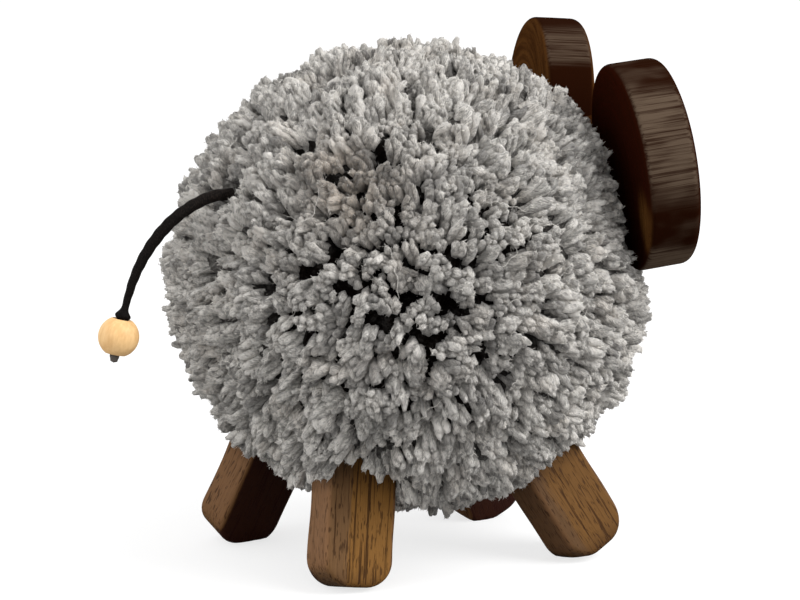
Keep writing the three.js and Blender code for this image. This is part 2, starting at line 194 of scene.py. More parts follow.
# Matted wool: its depth under the cut ends, how deep it is drawn in at most, in how many tries, and its grid.
WOOL_BELOW, WOOL_DEEPEST, WOOL_TRIES, WOOL_RINGS, WOOL_AROUND = 2.6, 28.0, 14, 160, 320
# Scale of the crimp of wool in its looks, per metre.
CRIMP = 1500.0

# Stage: the camera's sensor, shift and nearest sight, half the floor's width and its glow, the lamps' size, and
# each lamp's place and share of the power.
SENSOR, CAMERA_SHIFT, CLIP_START = 36.0, (-0.01, -0.02875), 0.01
FLOOR_HALF, FLOOR_GLOW, LAMP_SIZE = 12.0, 0.72, 0.8
LAMPS = {"key": ((-0.71, -0.645, 0.755), 1.0), "side": ((0.0, 1.15, 0.4), 0.28)}


def number_setting(name, description, default, **more):
    """A number, with its kind or limit."""
    return bpy.props.FloatProperty(name=name, description=description, default=default, **more)


def length_setting(name, description, default):
    """A length in metres."""
    return number_setting(name, description, default, subtype="DISTANCE", unit="LENGTH", precision=5)


def colour(name, description, default):
    """A colour of three shares."""
    return bpy.props.FloatVectorProperty(
        name=name, description=description, default=default, subtype="COLOR", size=3, min=0.0, max=1.0
    )


def count_setting(name, description, default):
    """A whole number, at least 1."""
    return bpy.props.IntProperty(name=name, description=description, default=default, min=1)


class YarnSettings(bpy.types.PropertyGroup):
    """Sizes and colours of the cut yarn."""

    strands: count_setting("Strands", "Cut ends of yarn over the whole pompom", 5700)
    hairs: count_setting("Hairs", "Loose fibres on each ply", 8)
    curls: count_setting("Curls", "Long stray fibres that lie on the pile", 70)
    reach: length_setting("Reach", "From the middle of the pompom to the cut ends", 0.0415)
    root: length_setting("Root", "From the middle of the pompom to where the strands start", 0.0315)
    ply: length_setting("Ply", "Radius of one of the three plies of a strand", 0.00070)
    pitch: length_setting("Pitch", "Length in which the plies go once round each other", 0.03)
    light: colour("Light wool", "Colour of the cut ends", (0.95, 0.91, 0.85))
    # Deep wool is partly painted shade, toward which the wool darkens below the pile's surface and on the open
    # side, and partly the grey of darker flecks and strands.
    dark: colour("Deep wool", "Colour down between the strands", (0.030, 0.024, 0.020))
    # Matted wool is painted shade: the near black of the dense wool under the strands.
    deep: colour("Matted wool", "Colour of the dense wool under the strands", (0.0045, 0.0030, 0.0024))
    brown: colour("Stained wool", "Colour of the soiled spot", (0.50, 0.385, 0.275))


class WoodSettings(bpy.types.PropertyGroup):
    """Colours of the legs, the ears, the head and the bead."""

    leg_light: colour("Leg wood", "Golden bands of the legs", (0.30, 0.140, 0.031))
    leg_grey: colour("Leg heartwood", "Grey-brown bands of the legs", (0.205, 0.108, 0.044))
    leg_edge: colour("Leg edges", "Sanded narrow sides of the legs", (0.31, 0.158, 0.074))
    # Leg insides is painted shade, on the inner faces of the legs under the body.
    leg_inner_shade: colour("Leg insides", "Stain on the inner faces of the legs", (0.022, 0.0036, 0.0022))
    # Leg pores colours the dark lines and pores, and also painted shade under the yarn at the top of each leg and,
    # with darker end grain, at its lower end.
    leg_pores_and_shade: colour("Leg pores", "Dark lines and pores of the legs", (0.030, 0.011, 0.003))
    # The ear wood colour is mostly painted sheen, the grey band on each rim, and partly a faint grey haze of the
    # grain.
    ear_haze_and_sheen: colour("Ear wood", "Worn grey fibres of the rims", (0.088, 0.061, 0.042))
    ear_dark: colour("Ear stain", "Dark stain between the fibres", (0.014, 0.0038, 0.0014))
    ear_face: colour("Ear faces", "Stain on the faces of ears and head", (0.024, 0.0040, 0.0016))
    # The bare wood colour is painted light on the ears' faces and their lit patch, and the paler wood of the
    # head's faces.
    ear_bare_and_lit: colour("Ear bare wood", "Faces where the stain is thin", (0.105, 0.045, 0.012))
    bead_light: colour("Bead wood", "Light wood of the tail bead", (0.89, 0.575, 0.265))
    bead_dark: colour("Bead grain", "Grain lines of the tail bead", (0.74, 0.43, 0.17))
    face_black: colour("Face beads", "Black of the eyes and nose", (0.004, 0.004, 0.004))
    face_smear: colour("Face smears", "Smears in the polish of eyes and nose", (0.012, 0.010, 0.010))
    core_light: colour("Core wood", "Light wood of the core and dowels", (0.64, 0.46, 0.27))
    core_dark: colour("Core grain", "Grain lines of the core and dowels", (0.45, 0.29, 0.15))


class TailSettings(bpy.types.PropertyGroup):
    """Size and colours of the tail cord."""

    diameter: length_setting("Cord", "Diameter of the tail cord", 0.0018)
    cord: colour("Cord", "Colour of the waxed cord", (0.0035, 0.0028, 0.0026))
    # Colour of the lighter flecks, thickest near the yarn.
    light_flecks: colour("Dust", "Lighter fibre on the cord", (0.055, 0.040, 0.033))
    cut: colour("Cut end", "Bare fibre of the end under the bead", (0.11, 0.095, 0.085))


class StageSettings(bpy.types.PropertyGroup):
    """Camera, floor and light."""

    azimuth: number_setting("Azimuth", "Turn of the camera round the mouse", math.radians(245), subtype="ANGLE")
    elevation: number_setting("Elevation", "Height of the camera as an angle", math.radians(9.5), subtype="ANGLE")
    distance: length_setting("Distance", "From the camera to the middle of the pompom", 0.42)
    lens: number_setting("Lens", "Focal length in mm", 107.5, min=1.0)
    floor: colour("Floor", "Colour of the floor", (0.34, 0.34, 0.34))
    key: number_setting("Key", "Power of the main lamp", 13.0, subtype="POWER")
    fill: number_setting("Fill", "Strength of the light all round", 0.96, min=0.0)


class MouseSettings(bpy.types.PropertyGroup):
    """All settings of the mouse."""

    yarn: bpy.props.PointerProperty(type=YarnSettings)
    wood: bpy.props.PointerProperty(type=WoodSettings)
    tail: bpy.props.PointerProperty(type=TailSettings)
    stage: bpy.props.PointerProperty(type=StageSettings)


def rows(*columns):
    """Rows of numbers, such as points, from their columns."""
    return np.stack(np.broadcast_arrays(*columns), -1)


def turns(count):
    """Even angles once round a circle."""
    return np.linspace(0, TAU, count, endpoint=False)


def ramp(values, low, high):
    """A straight rise from 0 at low to 1 at high."""
    return np.clip((values - low) / (high - low), 0, 1)


def fall(distance, width):
    """A bell: e to the power of minus the square of distance over width."""
    return np.exp(-((distance / width) ** 2))


def bend(share):
    """Weights of the three points of a quadratic curve, at shares of its length."""
    return rows((1 - share) ** 2, 2 * share * (1 - share), share**2)


def waves(points, size, seed, count=12):
    """Smooth lumps: a sum of sine waves of about that size, each with its own direction and phase."""
    rng = np.random.default_rng(seed)
    pitch = unit(rng.normal(size=(count, 3))) * rng.uniform(0.6, 1.5, (count, 1)) * TAU / size
    return np.sin(points @ pitch.T + rng.uniform(0, TAU, count)).sum(-1) * math.sqrt(2 / count)


def spread(count, jitter, rng):
    """Unit vectors spread over a ball on a golden spiral, each knocked aside by jitter times their spacing."""
    step = np.arange(count) + 0.5
    height = 1 - 2 * step / count
    turn = math.pi * (1 + math.sqrt(5)) * step
    flat = np.sqrt(1 - height**2)
    even = rows(flat * np.cos(turn), flat * np.sin(turn), height)
    return unit(even + jitter * math.sqrt(2 * TAU / count) * rng.normal(size=(count, 3)))


def cross_frame(along):
    """Two unit vectors across each direction: the first is square to the direction and the z axis, or the x axis
    where the direction is upright, and the second completes a right-handed set."""
    upright = np.abs(along[..., 2:3]) > 0.9
    first = unit(np.cross(np.where(upright, (1.0, 0.0, 0.0), (0.0, 0.0, 1.0)), along))
    return first, np.cross(along, first)


def carried_frame(along):
    """Two unit vectors across lines at each ring, from their directions (line, ring, xyz): the first at a line's
    start is carried along it and made square to it, and the second completes the set."""
    start = cross_frame(along[:, :1])[0]
    first = unit(start - (start * along).sum(-1, keepdims=True) * along)
    return first, np.cross(along, first)


def circle(first, second, turn):
    """Points of unit circles on two axes, at the given angles."""
    return np.cos(turn)[:, None] * first[..., None, :] + np.sin(turn)[:, None] * second[..., None, :]


def run_along(line):
    """Distance along a line of points from its start to each point."""
    return np.concatenate(((0,), np.cumsum(length(np.diff(line, axis=0)))))


def even_steps(line, count, endpoint=True):
    """Points at even steps along a line of points, and the distance to each."""
    run = run_along(line)
    at = np.linspace(0, run[-1], count, endpoint=endpoint)
    return rows(*(np.interp(at, run, column) for column in line.T)), at


def smooth_path(points, count):
    """Even steps along a cubic through the points, whose slope at a point is that between its two neighbours."""
    at = run_along(points)
    slope = np.gradient(points, at, axis=0)
    fine = np.linspace(0, at[-1], 40 * len(points))
    left = np.clip(np.searchsorted(at, fine, "right") - 1, 0, len(at) - 2)
    span = (at[left + 1] - at[left])[:, None]
    t = (fine - at[left])[:, None] / span
    ends = points[left] * (1 + 2 * t) * (1 - t) ** 2 + points[left + 1] * t**2 * (3 - 2 * t)
    bends = slope[left] * t * (1 - t) ** 2 - slope[left + 1] * t**2 * (1 - t)
    return even_steps(ends + bends * span, count)


def shell(rings, poles=None):
    """Closed surfaces from rings of points, shaped (surface, ring, point, xyz), or (ring, point, xyz) for one.
    Ring k joins ring k + 1 by quads. Fans close the first and last ring to the two poles of each surface;
    with no poles the last ring joins the first. Each surface has its own cell of the bake map."""
    tall, wide = rings.shape[-3:-1]
    points = rings.reshape(-1, tall * wide, 3)
    number = np.arange(len(points))
    col = np.arange(wide)
    after = (col + 1) % wide
    row = np.arange(tall if poles is None else tall - 1)[:, None]
    low, high = row * wide, (row + 1) % tall * wide
    quads = rows(low + col, low + after, high + after, high + col).reshape(-1, 4)
    quad_map = rows(rows(col, col + 1, col + 1, col), rows(row, row, row + 1, row + 1) + 1)
    triangles, fan_map = np.zeros((0, 3), int), np.zeros((0, 3, 2))
    if poles is not None:
        points = np.concatenate((points, poles.reshape(-1, 2, 3)), 1)
        last, pole = (tall - 1) * wide, tall * wide
        triangles = np.concatenate((rows(after, col, pole), rows(last + col, last + after, pole + 1)))
        fan_u = np.concatenate((rows(col + 1, col, col + 0.5), rows(col, col + 1, col + 0.5)))
        fan_map = rows(fan_u, np.repeat(((1, 1, 0), (tall, tall, tall + 1)), wide, 0))
    start = number[:, None, None] * points.shape[1]
    corners = np.concatenate((quad_map.reshape(-1, 2), fan_map.reshape(-1, 2))) / (wide, tall + 1)
    cells = math.ceil(math.sqrt(len(points)))
    margin = 0.01 if cells == 1 else 0.06
    cell = rows(number % cells, number // cells)[:, None]
    placed = (cell + margin + (1 - 2 * margin) * corners) / cells
    bake_map = np.concatenate([part.reshape(-1, 2) for part in np.split(placed, [len(quads) * 4], 1)])
    return points.reshape(-1, 3), (start + quads).reshape(-1, 4), (start + triangles).reshape(-1, 3), bake_map


def lathe(profile, origin, axis, around, wobble=0.0, seed=0):
    """Rings of a turned form: profile rows are (radius, distance along the axis), carried round the axis.
    Wobble is the height of smooth lumps, 16 mm wide, as a hand-sanded form has."""
    out = circle(*cross_frame(axis), turns(around))
    radius, along = profile.T[..., None, None]
    rings = radius * out + along * axis
    return rings + wobble * waves(rings, 16.0, seed)[..., None] * out * (radius > 0) + origin


def tubes(paths, radii, sides, lumps=0.0, rng=None):
    """Rings and poles of many tubes at once: a circle of the given radius square to each path, with lumps as a
    share of it. Paths are (tube, ring, xyz). The poles stand a little past each end."""
    along = unit(np.gradient(paths, axis=1))
    radius = radii[:, :, None, None]
    if rng is not None:
        radius = radius * (1 + np.reshape(lumps, (-1, 1, 1)) * rng.normal(size=radii.shape + (sides, 1)))
    start = paths[:, 0] - 0.3 * along[:, 0] * radii[:, :1]
    end = paths[:, -1] + 0.4 * along[:, -1] * radii[:, -1:]
    return paths[:, :, None] + radius * circle(*carried_frame(along), turns(sides)), np.stack((start, end), 1)


def make_piece(name, surface, look, facts=None, body="figure"):
    """A mesh object from a closed surface in mm, riding on a body, with its per-point facts as attributes."""
    points, quads, triangles, bake_map = surface
    corners = np.concatenate((quads.ravel(), triangles.ravel())).astype(np.int32)
    starts = np.concatenate((np.arange(len(quads)) * 4, len(quads) * 4 + np.arange(len(triangles)) * 3))
    mesh = bpy.data.meshes.new(name)
    mesh.vertices.add(len(points))
    mesh.vertices.foreach_set("co", (points * MM).astype(np.float32).ravel())
    mesh.loops.add(len(corners))
    mesh.loops.foreach_set("vertex_index", corners)
    mesh.polygons.add(len(starts))
    mesh.polygons.foreach_set("loop_start", starts.astype(np.int32))
    mesh.polygons.foreach_set("use_smooth", np.ones(len(starts), bool))
    mesh.update(calc_edges=True)
    mesh.uv_layers.new(name="OFBake").data.foreach_set("uv", bake_map.astype(np.float32).ravel())
    for key, values in (facts or {}).items():
        attribute = mesh.attributes.new(key, "FLOAT_VECTOR", "POINT")
        attribute.data.foreach_set("vector", values.astype(np.float32).ravel())
    if mesh.validate():
        raise RuntimeError(f"{name} has faulty faces")
    mesh.materials.append(look.owner)
    piece = bpy.data.objects.new(name, mesh)
    bpy.context.scene.collection.objects.link(piece)
    if body:
        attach(piece, body)
    return piece


def with_poles(values, poles):
    """Per-point values of rings, shaped as for a shell, with those of the two poles of each surface after them."""
    poles = poles.reshape(-1, 2, 3)
    return np.concatenate((values.reshape(len(poles), -1, 3), poles), 1).reshape(-1, 3)


class Value:
    """A socket with arithmetic: each operator adds its Math node."""

    def __init__(self, look, socket):
        self.look = look
        self.socket = socket

    def _math(self, operation, first, second):
        """The result of one Math node."""
        return self.look.add("ShaderNodeMath", {"operation": operation}, {0: first, 1: second})

    def __add__(self, other):
        return self._math("ADD", self, other)

    def __sub__(self, other):
        return self._math("SUBTRACT", self, other)

    def __rsub__(self, other):
        return self._math("SUBTRACT", other, self)

    def __mul__(self, other):
        return self._math("MULTIPLY", self, other)

    __radd__ = __add__
    __rmul__ = __mul__

    def step(self, low, high):
        """0 below low, 1 above high, and a smooth rise between them."""
        settings = {"interpolation_type": "SMOOTHSTEP"}
        return self.look.add("ShaderNodeMapRange", settings, {0: self, 1: low, 2: high, 3: 0.0, 4: 1.0})


class Look:
    """The nodes of a material, or of a world where its collection is given, made by one method."""

    def __init__(self, name, owners=None):
        self.owner = (bpy.data.materials if owners is None else owners).new(name)
        self.owner.use_nodes = True
        self.tree = self.owner.node_tree
        self.shader = self.tree.nodes.get("Principled BSDF") or self.tree.nodes["Background"]

    def add(self, kind, settings=None, inputs=None, output=0):
        """A node of that type: its settings are set first, then the values or links of its sockets."""
        node = self.tree.nodes.new(kind)
        for key, value in (settings or {}).items():
            setattr(node, key, value)
        self.fill(node, inputs or {})
        return Value(self, node.outputs[output])

    def fill(self, node, inputs):
        """Sets or links the sockets of a node."""
        for key, value in inputs.items():
            socket = node.inputs[key]
            if isinstance(value, Value):
                self.tree.links.new(value.socket, socket)
            elif socket.type == "RGBA":
                socket.default_value = (*value, 1.0)
            else:
                socket.default_value = value

    def fact(self, name):
        """A per-point attribute of the piece, as a vector."""
        return self.add("ShaderNodeAttribute", {"attribute_name": name}, output="Vector")

    def place(self):
        """Object coordinates, in metres."""
        return self.add("ShaderNodeTexCoord", output="Object")

    def seen(self):
        """1 for rays from the camera and 0 for the light that reaches surfaces."""
        return self.add("ShaderNodeLightPath", output="Is Camera Ray")

    def parts(self, vector):
        """The three numbers of a vector."""
        node = self.add("ShaderNodeSeparateXYZ", None, {0: vector}).socket.node
        return [Value(self, socket) for socket in node.outputs]

    def scaled(self, vector, sizes):
        """A vector multiplied by three numbers."""
        return self.add("ShaderNodeVectorMath", {"operation": "MULTIPLY"}, {0: vector, 1: sizes})

    def noise(self, vector, scale, detail=2.0, rough=0.5):
        """Cloudy noise from 0 to 1, with about scale clouds in a unit of the vector."""
        inputs = {"Vector": vector, "Scale": scale, "Detail": detail, "Roughness": rough}
        return self.add("ShaderNodeTexNoise", None, inputs)

    def streaks(self, grain, across, along, detail=2.0, rough=0.5):
        """Noise drawn out along the grain, the second axis, by its scales across and along it."""
        return self.noise(self.scaled(grain, (across, along, across)), 1.0, detail, rough)

    def mix(self, share, first, second):
        """A colour between two colours."""
        return self.add("ShaderNodeMix", {"data_type": "RGBA"}, {0: share, 6: first, 7: second}, 2)

    def bump(self, height, strength, distance):
        """A normal tilted by a height, over a distance in metres."""
        return self.add("ShaderNodeBump", None, {"Height": height, "Strength": strength, "Distance": distance})

    def finish(self, **inputs):
        """Fills the shader's sockets."""
        self.fill(self.shader, {key.replace("_", " "): value for key, value in inputs.items()})
        return self


def yarn_look(settings):
    """Wool: pale flecks of crimped fibre over greyer wool, drawn out along each ply, darkened by painted shade
    between the strands and on the open side, and browner on the soiled spot and in faint clouds."""
    look = Look("cut_yarn")
    tone, depth, stain = look.parts(look.fact("shade"))
    streak = look.noise(look.fact("fibre"), 3.6, 3.0, 0.65)
    place = look.place()
    woolly = 0.6 * streak + 0.4 * look.noise(place, CRIMP, 3.0, 0.7)
    # depth is painted shade: the wool darkens toward the deep colour below the pile's surface and on the open
    # side.
    share = tone * depth * (0.45 + 0.84 * woolly.step(0.38, 0.64))
    clean = look.mix(share, settings.dark, settings.light)
    dirty = look.mix(share, settings.dark, settings.brown)
    soiled = stain * (0.5 + 0.5 * streak) + 0.2 * look.noise(place, 130.0, 1.0).step(0.5, 0.7)
    return look.finish(
        Base_Color=look.mix(soiled, clean, dirty),
        Roughness=0.86 + 0.14 * streak,
        Normal=look.bump(3.0 * woolly, 0.9, 0.0006),
        Sheen_Weight=0.35,
        Sheen_Roughness=0.5,
        Specular_IOR_Level=0.1,
    )


def hair_look(settings):
    """Loose fibres: pale wool with a little variation from hair to hair, darkened by painted shade below the
    pile's surface and on the open side.
    """
    look = Look("loose_fibre")
    tone, depth, _ = look.parts(look.fact("shade"))
    fleck = look.noise(look.fact("fibre"), 1.2, 1.0)
    return look.finish(
        Base_Color=look.mix(tone * depth * (0.3 + 0.8 * fleck), settings.dark, settings.light),
        Roughness=0.8 + 0.2 * fleck,
        Sheen_Weight=0.1,
        Specular_IOR_Level=0.2,
    )


def walnut_look(settings):
    """Oiled walnut: golden and grey-brown bands, long dark lines and short pores along the slab, plain tan on its
    narrow sides, painted shade on its inner face, and painted shade under the yarn at its top and, with darker end
    grain, at its lower end."""
    look = Look("walnut")
    grain = look.fact("grain")
    across, tone, through = look.parts(look.fact("rim"))
    sides = look.parts(look.fact("bands"))[0]
    drift = look.streaks(grain, 0.22, 0.012)
    fibre = look.streaks(grain, 6.0, 0.14, 3.0, 0.65)
    band = (sides + 1.6 * (drift - 0.5) + 0.9 * (fibre - 0.5)).step(-0.2, 0.1)
    line = look.streaks(grain, 2.1, 0.06).step(0.55, 0.66)
    dots = look.streaks(grain, 3.4, 0.5, 1.0).step(0.57, 0.67)
    side = across.step(0.84, 0.97)
    banded = look.mix(band, settings.leg_grey, settings.leg_light)
    wood = look.mix(0.8 * side, banded, settings.leg_edge)
    open_grain = (1 - 0.80 * line * (1 - 0.7 * side)) * (1 - 0.70 * dots)
    # tone carries painted shade: under the yarn at the top of the leg and, with darker end grain, at its lower
    # end.
    share = (0.62 + 0.62 * fibre) * open_grain * tone
    worn = look.mix(share, settings.leg_pores_and_shade, wood)
    # Painted shade on the inner face, under the body.
    inner = (1 - through).step(1.3, 1.9) * (1 - side)
    return look.finish(
        Base_Color=look.mix(0.93 * inner, worn, settings.leg_inner_shade),
        Roughness=0.62 - 0.12 * share + 0.1 * line,
        Normal=look.bump(0.35 * fibre + 0.65 * open_grain, 0.4, 0.00025),
        Specular_IOR_Level=0.1,
    )


def stain_look(settings, name="dark_stain"):
    """Dark stain over wood: on the rim, a painted grey sheen in the band that the rim fact gives, broken by fibres
    along the turning axis, with a faint grey haze of the grain; reddish faces with dark growth rings and pores,
    painted lighter toward
    bare wood where the rim fact asks: painted light on the ears, paler wood on the head."""
    look = Look(name)
    grain = look.fact("grain")
    worn, bare, edge = look.parts(look.fact("rim"))
    fibre = look.streaks(grain, 2.0, 0.03, 3.0, 0.7)
    line = look.streaks(grain, 6.0, 0.07, 2.0, 0.6)
    cloud = look.streaks(grain, 0.22, 0.12)
    growth = look.streaks(look.fact("growth"), 0.85, 0.85, 3.0, 0.65).step(0.34, 0.66)
    pore = look.streaks(grain, 2.2, 0.25, 2.0, 0.6).step(0.58, 0.70)
    # grey is the painted sheen, in the band that the rim fact gives, broken by the grain; haze is a faint grey of
    # the grain itself.
    grey = worn * (0.45 + cloud) * (1 - 0.82 * fibre.step(0.45, 0.60)) * (0.1 + 1.7 * line)
    haze = 0.26 * (1 - 2 * bare) * cloud.step(0.40, 0.66) * (0.3 + 1.3 * line)
    rim = look.mix(grey + haze, settings.ear_dark, settings.ear_haze_and_sheen)
    ringed = (0.5 + 0.7 * growth) * (1 - 0.5 * pore)
    stained = look.mix(ringed * (0.15 + 0.7 * cloud), settings.ear_dark, settings.ear_face)
    # bare paints light on the ears' faces and their lit patch, and makes the head's faces paler.
    faces = look.mix(bare * ringed * (0.5 + 0.5 * line + 0.6 * cloud), stained, settings.ear_bare_and_lit)
    return look.finish(
        Base_Color=look.mix(edge.step(0.6, 0.97), faces, rim),
        Roughness=0.45 + 0.25 * line,
        Normal=look.bump(0.5 * fibre + 0.5 * line, 0.3, 0.0002),
        Specular_IOR_Level=0.0,
    )


def pale_wood_look(settings):
    """Sanded pale wood: soft grain lines along the bore, faint flecks and clouds."""
    look = Look("pale_wood")
    grain = look.fact("grain")
    line = look.streaks(grain, 1.1, 0.12, 3.0, 0.6)
    fleck = look.streaks(grain, 3.0, 0.8)
    cloud = look.streaks(grain, 0.45, 0.4)
    share = (0.45 * line + 0.2 * fleck + 0.35 * cloud).step(0.34, 0.62)
    return look.finish(
        Base_Color=look.mix(share, settings.bead_dark, settings.bead_light),
        Roughness=0.5 + 0.2 * fleck,
        Normal=look.bump(0.6 * line + 0.4 * fleck, 0.25, 0.0002),
    )


def cord_look(settings):
    """Waxed cord: near black, with the lay of its strands in the gloss, lighter flecks that are thickest near the
    yarn and thin out along it, and a bare cut end."""
    look = Look("waxed_cord")
    lay = look.fact("lay")
    along = look.parts(lay)[2]
    strand = look.noise(look.scaled(lay, (1.5, 1.5, 1.2)), 1.6, 2.0, 0.6)
    light_flecks = look.noise(look.scaled(lay, (3.0, 3.0, 2.5)), 2.0, 2.0, 0.6).step(0.46, 0.68)
    flecked = light_flecks * (0.2 + 0.45 * (1 - along.step(*CORD_FLECKS)))
    waxed = look.mix(flecked, settings.cord, settings.light_flecks)
    return look.finish(
        Base_Color=look.mix(along.step(*CORD_CUT), waxed, settings.cut),
        Roughness=0.5 + 0.25 * strand,
        Normal=look.bump(strand, 0.5, 0.0002),
        Specular_IOR_Level=0.05,
    )


def gloss_bead_look(settings):
    """Black bead: glossy, with faint smears in the polish."""
    look = Look("black_bead")
    smear = look.noise(look.place(), 900.0, 3.0)
    base = look.mix(0.5 * smear, settings.face_black, settings.face_smear)
    return look.finish(Base_Color=base, Roughness=0.12 + 0.14 * smear, Specular_IOR_Level=0.25)


def plain_wood_look(settings):
    """Unfinished beech of the hidden core and dowels: upright grain on object coordinates."""
    look = Look("plain_beech")
    line = look.noise(look.scaled(look.place(), (700.0, 700.0, 90.0)), 1.0, 3.0, 0.6)
    base = look.mix(line.step(0.3, 0.7), settings.core_dark, settings.core_light)
    return look.finish(Base_Color=base, Roughness=0.6 + 0.2 * line, Normal=look.bump(line, 0.3, 0.0002))


def painted_shade_wool_look(settings):
    """The dense wool under the cut ends, painted in shade: near black on the open side and in the partings, and
    elsewhere a dark grey flecked with fibre.
    """
    look = Look("matted_wool")
    place = look.place()
    mat = look.noise(place, 420.0, 4.0, 0.65)
    fibre = look.noise(place, CRIMP, 3.0, 0.7).step(0.38, 0.64)
    # Painted shade: the open side and the partings are marked to be near black.
    painted_shade = look.parts(look.fact("shade"))[0]
    share = (1 - painted_shade) * (0.03 + 0.12 * mat + 0.16 * fibre) + 0.05 * mat.step(0.45, 0.8)
    return look.finish(
        Base_Color=look.mix(share, settings.deep, settings.light),
        Roughness=0.95,
        Normal=look.bump(mat + 0.7 * fibre, 0.9, 0.001),
        Specular_IOR_Level=0.0,
    )


def leg_local(points, leg):
    """Points in a leg's own axes: across, up along the slab and out of its face, in mm from the lower end."""
    end, axes = LEG_FRAMES[leg]
    return (points - end) @ axes.T


def leg_world(local, leg):
    """Points of a leg's own axes, put back where the leg stands."""
    end, axes = LEG_FRAMES[leg]
    return end + local @ axes


def head_profile(count=14):
    """The head's outline, from the flat back to the snout: a line and two cubic arcs, as (radius, distance)."""
    t = np.linspace(0, 1, count)
    cubic = rows((1 - t) ** 3, 3 * t * (1 - t) ** 2, 3 * t**2 * (1 - t), t**3)
    back = np.linspace((2.0, 0.0), HEAD_CHEEK[0], HEAD_STEPS)
    return np.concatenate((back, (cubic @ HEAD_CHEEK)[1:], (cubic @ HEAD_SNOUT)[1:-1]))


def tail_fan():
    """Points along the tail cord at rest and swung to both sides, in mm."""
    path, _ = smooth_path(TAIL_ROUTE, 36)
    turn = np.radians(np.linspace(-TAIL_SWING, TAIL_SWING, 9))[:, None]
    x, y, z = (path - path[0]).T
    swung = rows(x * np.cos(turn) - y * np.sin(turn), x * np.sin(turn) + y * np.cos(turn), z)
    return (swung + path[0]).reshape(-1, 3)


def about_axis(points, origin, axis):
    """Distances of points along an axis from its origin, and out from the axis."""
    arm = points - origin
    high = arm @ axis
    return high, np.sqrt(np.maximum((arm**2).sum(-1) - high**2, 0))


def blocked(points, room):
    """Which points lie in an ear, the head or the tail's swing, or nearer to one than room, in mm."""
    hit = np.zeros(points.shape[:-1], bool)
    for centre, axis in EARS.values():
        high, wide = about_axis(points, centre, axis)
        hit |= (np.abs(high) < EAR_THICKNESS / 2 + room) & (wide < EAR_RADIUS + room)
    high, wide = about_axis(points, HEAD_BACK, HEAD_AXIS)
    radius, along = head_profile()[HEAD_STEPS - 1 :].T
    hit |= (high > -room) & (high < HEAD_LENGTH + room) & (wide < np.interp(high, along, radius) + room)
    fan = tail_fan()
    near = length(points - fan[0]) < GROOVE_LENGTH
    gap = length(points[near][:, None] - fan).min(-1)
    hit[near] |= gap < GROOVE_HALF + room
    return hit


def part_from_legs(points, room):
    """Points inside a leg's room are carried out to its rim, seen along the leg: the rim is a rounded rectangle
    given by the fourth powers of its two half widths. The second result is how near the leg's middle each was."""
    middle = np.full(points.shape[:-1], 9.0)
    for leg in LEGS:
        local = leg_local(points, leg)
        across = np.abs(local[..., 0]) / (LEG_WIDTH / 2 + room)
        through = np.abs(local[..., 2]) / (LEG_THICKNESS / 2 + room)
        level = np.maximum((across**4 + through**4) ** 0.25, 1e-3)
        inside = (level < 1) & (local[..., 1] > -6) & (local[..., 1] < LEG_LENGTH + 0.5)
        local[..., ::2] /= np.where(inside, level, 1)[..., None]
        middle = np.where(inside, np.minimum(middle, level), middle)
        points = np.where(inside[..., None], leg_world(local, leg), points)
    return points, middle


def over_legs(points):
    """Which points hang over the bare part of a leg: within its width, below LEG_BARE along it, near its faces."""
    hit = np.zeros(len(points), bool)
    for leg in LEGS:
        across, up, out = np.abs(leg_local(points, leg)).T
        hit |= (across < LEG_WIDTH / 2 + 0.4) & (up < LEG_BARE) & (out < LEG_THICKNESS / 2 + 6)
    return hit


def swells(out, reach):
    """Broad swells of the pile: each coordinate's sine times the next one's cosine, summed, over a ball."""
    turn = out * reach * TAU / SWELL_SPACING
    return SWELL_HEIGHT * (np.sin(turn) * np.cos(np.roll(turn, -1, -1))).sum(-1)


